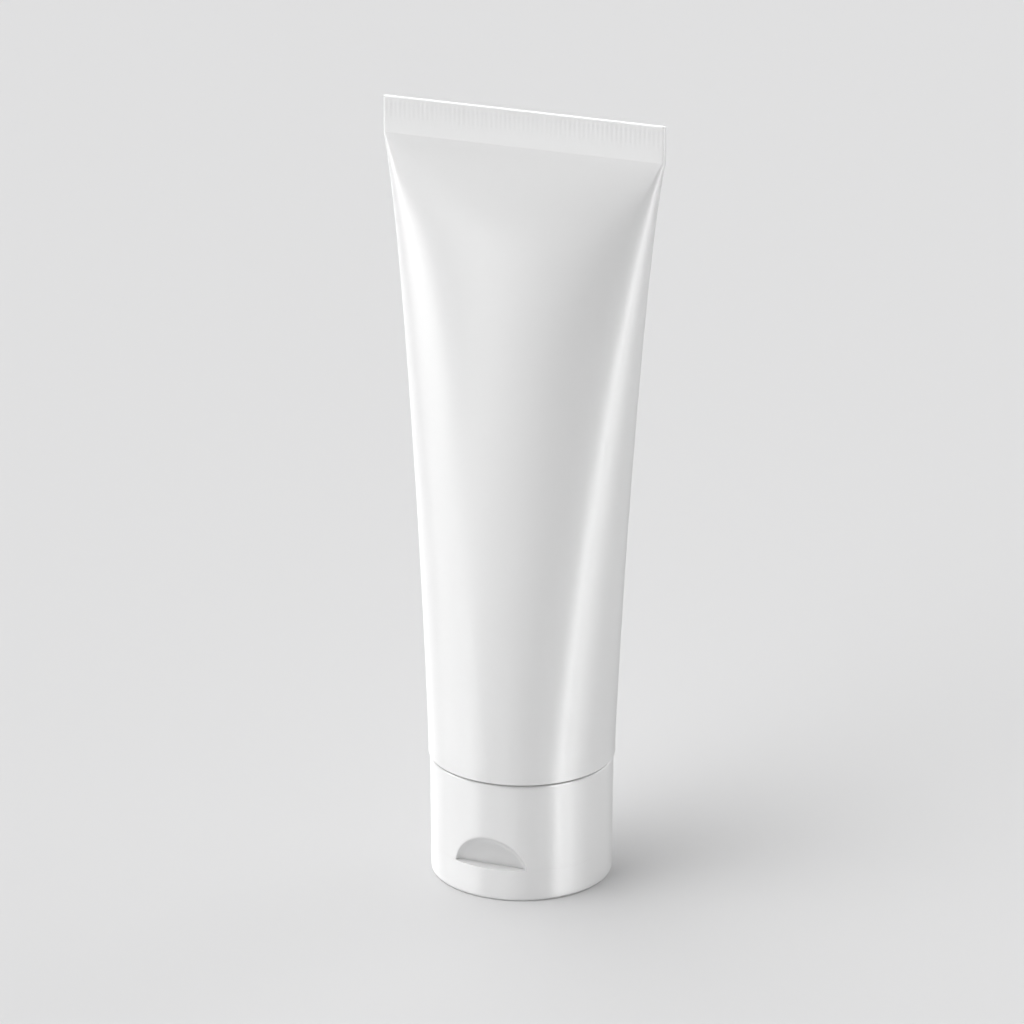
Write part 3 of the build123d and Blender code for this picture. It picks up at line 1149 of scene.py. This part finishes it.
@dataclass
class CapLid(CapOutline):
    """The flip lid that the tube stands on: shallow cup, front lip, seal ring and plug.

    A profile gives the radius and the height of each ring.

    Attributes:
        foot_round, foot_steps: Rounding where the wall meets the floor.
        plate: Thickness of the lid's plate.
        outer_levels: Heights of the wall's outer rings below the parting plane.
        inner_levels: Heights of its inner rings, from the top.
        inner_draft: How much the inner wall closes in at the plate.
        seal: Profile of the seal ring.
        plug: Profile of the plug.
        lip_radius: Inner radius of the front lip.
        lip_near: How near to the inner wall a vertex is taken to be on it.
        hinge_edge: Chamfer over the hinge flat.
        pole_radius: Radius of the underside's middle face.
    """

    foot_round: float = 0.5
    foot_steps: int = 6
    plate: float = 1.2
    outer_levels: tuple[float, ...] = (1.2, 2.4, 3.6, 4.9)
    inner_levels: tuple[float, ...] = (4.6, 3.0)
    inner_draft: float = 0.04
    seal: Profile = ((4.4, 1.2), (4.4, 2.1), (3.6, 2.1), (3.6, 1.2))
    plug: Profile = ((1.88, 1.2), (1.88, 2.8), (1.5, 4.5), (1.45, 4.7), (1.33, 4.88), (1.1, 5.0))
    lip_radius: float = 14.375
    lip_near: float = 0.06
    hinge_edge: float = 0.5
    pole_radius: float = 8.0

    @property
    def inner(self) -> float:
        """Inner radius of the wall."""
        return self.radius(self.parting) - self.wall

    def outline(self) -> list[tuple[float, float]]:
        """Rings from the underside over the foot and the wall to the plug's tip."""
        foot, corner = self.foot_round, self.radius(0) - self.foot_round
        turns = (math.pi / 2 * step / self.foot_steps for step in range(self.foot_steps + 1))
        quarter = [(corner + foot * math.sin(turn), foot - foot * math.cos(turn)) for turn in turns]
        wall = [(self.radius(level), level) for level in (*self.outer_levels, self.parting)]
        inside = [(self.inner, level) for level in (self.parting, *self.inner_levels)]
        inside.append((self.inner - self.inner_draft, self.plate))
        return [(self.pole_radius, 0.0), *quarter, *wall, *inside, *self.seal, *self.plug]

    def build(self) -> bpy.types.Object:
        """Models the lid: turned cup, thicker lip, hinge flat and eased edges.

        Returns:
            The lid.
        """
        outline = self.outline()
        bench = Bench.lathe("cap_lid_skin", outline, self.segments)
        for radius, height in (outline[0], outline[-1]):
            bench.cap_ring(radius * MM, height * MM)
        self.lip(bench)
        self.back(bench)
        piece = bench.finish(self.smooth_angle)
        self.ease_edges(piece)
        self.trim(piece)
        return piece

    def trim(self, piece: bpy.types.Object) -> None:
        """Presses what the eased edges leave proud of the hinge flat or the floor back on to it."""
        flat = self.hinge_flat * MM
        bpy.ops.object.mode_set(mode="EDIT")
        bpy.ops.mesh.select_mode(type="VERT")
        bench = Bench(piece)
        if bench.pick(lambda co: co.y > flat + TINY):
            bench.scale(1, 0, 1, (0, flat, 0))
        if bench.pick(lambda co: co.z < 0):
            bench.scale(1, 1, 0)
        bpy.ops.object.mode_set(mode="OBJECT")

    def lip(self, bench: Bench) -> None:
        """Thickens the front wall under the finger recess."""
        inner, near = self.inner * MM, self.lip_near * MM

        def on_wall(co: Vector) -> bool:
            return abs(math.hypot(co.x, co.y) - inner) < near

        bench.pick(lambda co: on_wall(co) and abs(azimuth(co)) < self.lip_angle)
        share = self.lip_radius * MM / inner
        bench.scale(share, share, 1)

    def back(self, bench: Bench) -> None:
        """Cuts the flat behind the hinge and eases its upper edge, so that the lid turns past the film."""
        flat, edge = self.hinge_flat * MM, self.hinge_edge * MM
        for place, facing in (((0, flat, 0), (0, 1, 0)), ((0, flat - edge, self.parting * MM), (0, 1, 1))):
            bpy.ops.mesh.select_all(action="SELECT")
            bpy.ops.mesh.bisect(plane_co=place, plane_no=facing, use_fill=True, clear_outer=True)

    def dress(self, piece: bpy.types.Object) -> None:
        """Gives the lid its moulded finish and its place in the frame."""
        stand_in(piece, CAP_PLASTIC, Body.LID, Node.LID)


@dataclass
class FilmHinge:
    """The thin strip behind the cap that lets the lid swing, in millimetres.

    Attributes:
        width: Width along the hinge.
        inner: Distance of its inner face from the tube's axis.
        outer: Distance of its outer face, on which the hinge's axis lies.
        parting: Height of the hinge's axis.
        reach: How far it runs up the base and down the lid.
        groove: How far its inner face is thinned at the axis.
        turn: Half the height that bends.
        rows: Rows over its height.
        edge: Rounding of its edges.
        sharp_angle: Edges that turn by more degrees are rounded.
        smooth_angle: Edges that turn by fewer degrees are shaded smooth.
    """

    width: float = 9.0
    inner: float = 16.13
    outer: float = 16.34
    parting: float = 6.2
    reach: float = 1.3
    groove: float = 0.06
    turn: float = 0.42
    rows: int = 24
    edge: float = 0.03
    sharp_angle: float = 60.0
    smooth_angle: float = 40.0

    def build(self) -> bpy.types.Object:
        """Models the strip as a divided plane that is extruded, thinned and eased.

        Returns:
            The strip.
        """
        Bench.clear()
        middle = (0, self.inner * MM, self.parting * MM)
        bpy.ops.mesh.primitive_plane_add(size=1, location=middle, rotation=(math.pi / 2, 0, 0))
        bench = Bench.take("film_hinge")
        bench.scale(self.width * MM, 1, 2 * self.reach * MM, middle)
        half = self.width / 2 * MM
        bench.pick_edges(lambda a, b: abs(a.x - b.x) < TINY and abs(abs(a.x) - half) < TINY)
        bpy.ops.mesh.subdivide(number_cuts=self.rows - 1)
        bpy.ops.mesh.select_all(action="SELECT")
        bench.extrude(y=(self.outer - self.inner) * MM)
        bpy.ops.mesh.select_mode(type="VERT")
        waist = self.turn / 2 * MM
        bench.pick(lambda co: abs(co.z - middle[2]) < waist and co.y < middle[1] + TINY)
        bench.move(y=self.groove * MM)
        piece = bench.finish(self.smooth_angle)
        apply_modifier(piece, "BEVEL", limit_method="ANGLE", angle_limit=math.radians(self.sharp_angle),
                       width=self.edge * MM, segments=2)
        return piece

    def dress(self, piece: bpy.types.Object) -> None:
        """Gives the strip the cap's finish and bakes its placement into the mesh."""
        dress(piece, CAP_PLASTIC)
        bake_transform(piece)


def direction(turn: float, rise: float) -> Vector:
    """Unit vector from the tube.

    Args:
        turn: Degrees from the tube's front towards +X.
        rise: Degrees above the floor.

    Returns:
        The direction.
    """
    side, up = math.radians(turn), math.radians(rise)
    return Vector((math.sin(side) * math.cos(up), -math.cos(side) * math.cos(up), math.sin(up)))


@dataclass
class RoomNodes:
    """The room's node tree, with short ways to add to it.

    Attributes:
        tree: The world's node tree.
        view: Unit direction from the tube to the wall.
    """

    tree: bpy.types.NodeTree
    view: bpy.types.NodeSocket

    def compute(self, operation: str, *values: float | bpy.types.NodeSocket) -> bpy.types.NodeSocket:
        """Adds a Math node.

        Args:
            operation: The node's operation.
            values: Numbers or sockets for its inputs.

        Returns:
            Its result.
        """
        node = self.tree.nodes.new("ShaderNodeMath")
        node.operation = operation
        for socket, value in zip(node.inputs, values):
            if isinstance(value, bpy.types.NodeSocket):
                self.tree.links.new(value, socket)
            else:
                socket.default_value = value
        return node.outputs[0]

    def along(self, turn: float, rise: float) -> bpy.types.NodeSocket:
        """How far the view goes towards a place on the walls.

        Args:
            turn: Degrees from the tube's front towards +X.
            rise: Degrees above the floor.

        Returns:
            The cosine of the angle between them.
        """
        node = self.tree.nodes.new("ShaderNodeVectorMath")
        node.operation = "DOT_PRODUCT"
        node.inputs[1].default_value = direction(turn, rise)
        self.tree.links.new(self.view, node.inputs[0])
        return node.outputs["Value"]


@dataclass(frozen=True)
class Glow:
    """A round soft light.

    Attributes:
        turn: Degrees from the tube's front towards +X.
        rise: Degrees above the floor.
        strength: Brightness in its middle.
        focus: How tightly it is gathered.
    """

    turn: float
    rise: float
    strength: float
    focus: float = 20.3

    def paint(self, room: RoomNodes) -> bpy.types.NodeSocket:
        """Adds the nodes for its brightness over the walls.

        Args:
            room: The world's nodes.

        Returns:
            The brightness.
        """
        fall = room.compute("MULTIPLY_ADD", room.along(self.turn, self.rise), self.focus, -self.focus)
        return room.compute("MULTIPLY", room.compute("EXPONENT", fall), self.strength)


@dataclass(frozen=True)
class SoftBox:
    """A rectangular soft box that only shows as a gloss on the plastic.

    Attributes:
        turn: Degrees from the tube's front towards +X.
        rise: Degrees above the floor; below it the box stands under the table's level.
        radiance: Brightness of its face.
        width: Width in degrees, as the tube sees it.
        height: Height in degrees.
        distance: How far away it stands.
        aim: Height on the tube that it is turned to.
    """

    turn: float
    rise: float
    radiance: float
    width: float = 17.0
    height: float = 24.0
    distance: float = 3.0
    aim: float = 0.07

    def across(self, degrees: float) -> float:
        """Length that spans an angle at the box's distance."""
        return 2 * self.distance * math.tan(math.radians(degrees / 2))

    def place(self) -> None:
        """Adds the box, turned to the tube."""
        way = direction(self.turn, self.rise)
        data = bpy.data.lights.new("soft_box", "AREA")
        data.shape = "RECTANGLE"
        data.size, data.size_y = self.across(self.width), self.across(self.height)
        data.energy = 4 * self.radiance * data.size * data.size_y
        lamp = bpy.data.objects.new("soft_box", data)
        bpy.context.scene.collection.objects.link(lamp)
        lamp.location = way * self.distance + Vector((0, 0, self.aim))
        lamp.rotation_mode = "QUATERNION"
        lamp.rotation_quaternion = way.to_track_quat("Z", "Y")
        lamp.visible_diffuse = False
        lamp.visible_camera = False


@dataclass(frozen=True)
class BoxRow:
    """A row of soft boxes side by side.

    Attributes:
        first: Turn of the first box.
        rise: Degrees above the floor.
        radiances: Brightness of each box.
        pitch: Degrees from one box to the next.
        width: Width of each box in degrees.
    """

    first: float
    rise: float
    radiances: tuple[float, ...]
    pitch: float = 17.0
    width: float = 17.0

    def boxes(self) -> list[SoftBox]:
        """The row's boxes."""
        return [SoftBox(self.first + self.pitch * step, self.rise, radiance, self.width)
                for step, radiance in enumerate(self.radiances)]


@dataclass
class Room:
    """The studio's walls, which carry the soft lights and look plain to the camera.

    The camera looks down, so an upright wall mirrors what lies under the table's level. The
    rows of soft boxes stand there: a strip at the right, a bank at the left and a dim one behind.

    Attributes:
        plain: Brightness of the walls as the camera sees them.
        glows: The round lights that light tube and floor.
        rows: The soft boxes that the plastic mirrors.
        top_box: The box that the crimp's cut edge mirrors.
    """

    plain: float = 0.738
    glows: tuple[Glow, ...] = (
        Glow(120, 6, 2.06), Glow(150, 6, 4.40), Glow(330, 6, 2.22), Glow(300, 6, 0.65),
        Glow(60, 33, 0.40), Glow(90, 33, 0.47), Glow(330, 33, 1.88), Glow(225, 60, 2.14),
        Glow(270, 60, 1.43), Glow(0, 90, 2.04), Glow(297, 65, 3.40, 60), Glow(314, 65, 4.63, 60),
    )
    rows: tuple[BoxRow, ...] = (
        BoxRow(5, -45, (2.6,), width=14),
        BoxRow(5, -22, (1.8,)),
        BoxRow(20, -22, (1.7, 1.9, 2.2), 15, 14),
        BoxRow(62, -22, (2.7, 7.1, 2.9, 5.4, 1.8, 3.3), 8, 9),
        BoxRow(115, -22, (1.6, 0.9), 15, 14),
        BoxRow(147, -22, (0.4, 0.2, 0.2, 0.4, 1.2, 1.4, 1.7, 1.5, 2.4, 2.5, 3.4, 1.4, 1.8)),
        BoxRow(62, 1, (16.0, 16.0), 16, 9),
        BoxRow(283, 1, (6.9, 5.6)),
        BoxRow(334, 1, (1.8, 1.2)),
    )
    top_box: SoftBox = SoftBox(201, 22, 3.5, 30)

    def build(self) -> None:
        """Paints the glows on a world background and places the soft boxes."""
        for row in self.rows:
            for box in row.boxes():
                box.place()
        self.top_box.place()
        world = bpy.data.worlds.new("room")
        bpy.context.scene.world = world
        world.use_nodes = True
        tree = world.node_tree
        nodes, links = tree.nodes, tree.links
        place = nodes.new("ShaderNodeTexCoord")
        unit = nodes.new("ShaderNodeVectorMath")
        unit.operation = "NORMALIZE"
        links.new(place.outputs["Generated"], unit.inputs[0])
        room = RoomNodes(tree, unit.outputs[0])
        total = self.glows[0].paint(room)
        for glow in self.glows[1:]:
            total = room.compute("ADD", total, glow.paint(room))
        walls = nodes.new("ShaderNodeBackground")
        walls.inputs["Color"].default_value = (1, 1, 1, 1)
        links.new(total, walls.inputs["Strength"])
        backdrop = nodes["Background"]
        backdrop.inputs["Color"].default_value = (1, 1, 1, 1)
        backdrop.inputs["Strength"].default_value = self.plain
        ray, mix = nodes.new("ShaderNodeLightPath"), nodes.new("ShaderNodeMixShader")
        links.new(ray.outputs["Is Camera Ray"], mix.inputs["Fac"])
        links.new(walls.outputs[0], mix.inputs[1])
        links.new(backdrop.outputs[0], mix.inputs[2])
        links.new(mix.outputs[0], nodes["World Output"].inputs["Surface"])


@dataclass
class Studio:
    """Camera, floor and light.

    Attributes:
        lens: Focal length for a 36 mm sensor.
        distance: Horizontal distance of the camera from the tube's axis.
        height: Height of the camera.
        azimuth: How far round to the right the camera stands, in degrees.
        pitch: How far down it looks, in radians.
        yaw: Small turn to the left, in radians.
        roll: Small roll, in radians.
        sensor: Width of the camera's sensor, in millimetres.
        floor_size: Width of the floor.
        floor_grey: Its grey, linear.
        floor_cool: How much bluer the floor is than plain grey.
    """

    lens: float = 191.37
    distance: float = 0.93981
    height: float = 0.42388
    azimuth: float = 21.5
    pitch: float = 0.35913
    yaw: float = -0.002047
    roll: float = 0.001774
    sensor: float = 36.0
    floor_size: float = 40.0
    floor_grey: float = 0.75
    floor_cool: float = 1.005

    def camera(self) -> None:
        """Sets the camera where the photographer stood."""
        data = bpy.data.cameras.new("camera")
        data.lens = self.lens
        data.sensor_width = self.sensor
        camera = bpy.data.objects.new("camera", data)
        bpy.context.scene.collection.objects.link(camera)
        turn = Matrix.Rotation(math.radians(self.azimuth), 3, "Z")
        level, down = math.cos(self.pitch), -math.sin(self.pitch)
        forward = turn @ Vector((math.sin(self.yaw) * level, math.cos(self.yaw) * level, down))
        right = turn @ Vector((math.cos(self.yaw), -math.sin(self.yaw), 0))
        up = right.cross(forward)
        rolled_right = math.cos(self.roll) * right + math.sin(self.roll) * up
        rolled_up = -math.sin(self.roll) * right + math.cos(self.roll) * up
        rotation = Matrix((rolled_right, rolled_up, -forward)).transposed().to_4x4()
        place = turn @ Vector((0, -self.distance, self.height))
        camera.matrix_world = Matrix.Translation(place) @ rotation
        bpy.context.scene.camera = camera

    def floor(self) -> None:
        """Lays a wide plain floor that the plastic doesn't mirror."""
        Bench.clear()
        bpy.ops.mesh.primitive_plane_add(size=self.floor_size, location=(0, 0, 0))
        floor = bpy.context.active_object
        floor.name = "floor"
        material = bpy.data.materials.new("floor_paper")
        material.use_nodes = True
        shader = material.node_tree.nodes["Principled BSDF"]
        grey = self.floor_grey
        shader.inputs["Base Color"].default_value = (grey, grey, grey * self.floor_cool, 1)
        shader.inputs["Roughness"].default_value = 1.0
        shader.inputs["Specular IOR Level"].default_value = 0.0
        floor.data.materials.append(material)
        floor.visible_glossy = False
        floor.visible_shadow = False

    def lights(self) -> None:
        """Lights the room and shows the colours as a plain photograph does."""
        bpy.context.scene.view_settings.view_transform = "Standard"
        Room().build()


def main() -> None:
    """Builds the pieces in order and reports each one."""
    logging.basicConfig(level=logging.INFO, format="%(name)s: %(message)s")
    sleeve = Sleeve(*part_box(Node.SLEEVE.value))
    skin = sleeve.build()
    sleeve.dress(skin)
    LOG.info("%s: %d faces", skin.name, len(skin.data.polygons))
    for part in (CapBase(), CapLid(), FilmHinge()):
        piece = part.build()
        part.dress(piece)
        LOG.info("%s: %d faces", piece.name, len(piece.data.polygons))
    for node, finish in ((Node.HEAD, HEAD_PLASTIC), (Node.CREAM, CREAM_PASTE)):
        dress(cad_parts[node.value], finish)
    studio = Studio()
    studio.camera()
    studio.floor()
    studio.lights()


if __name__ == "__main__":
    main()
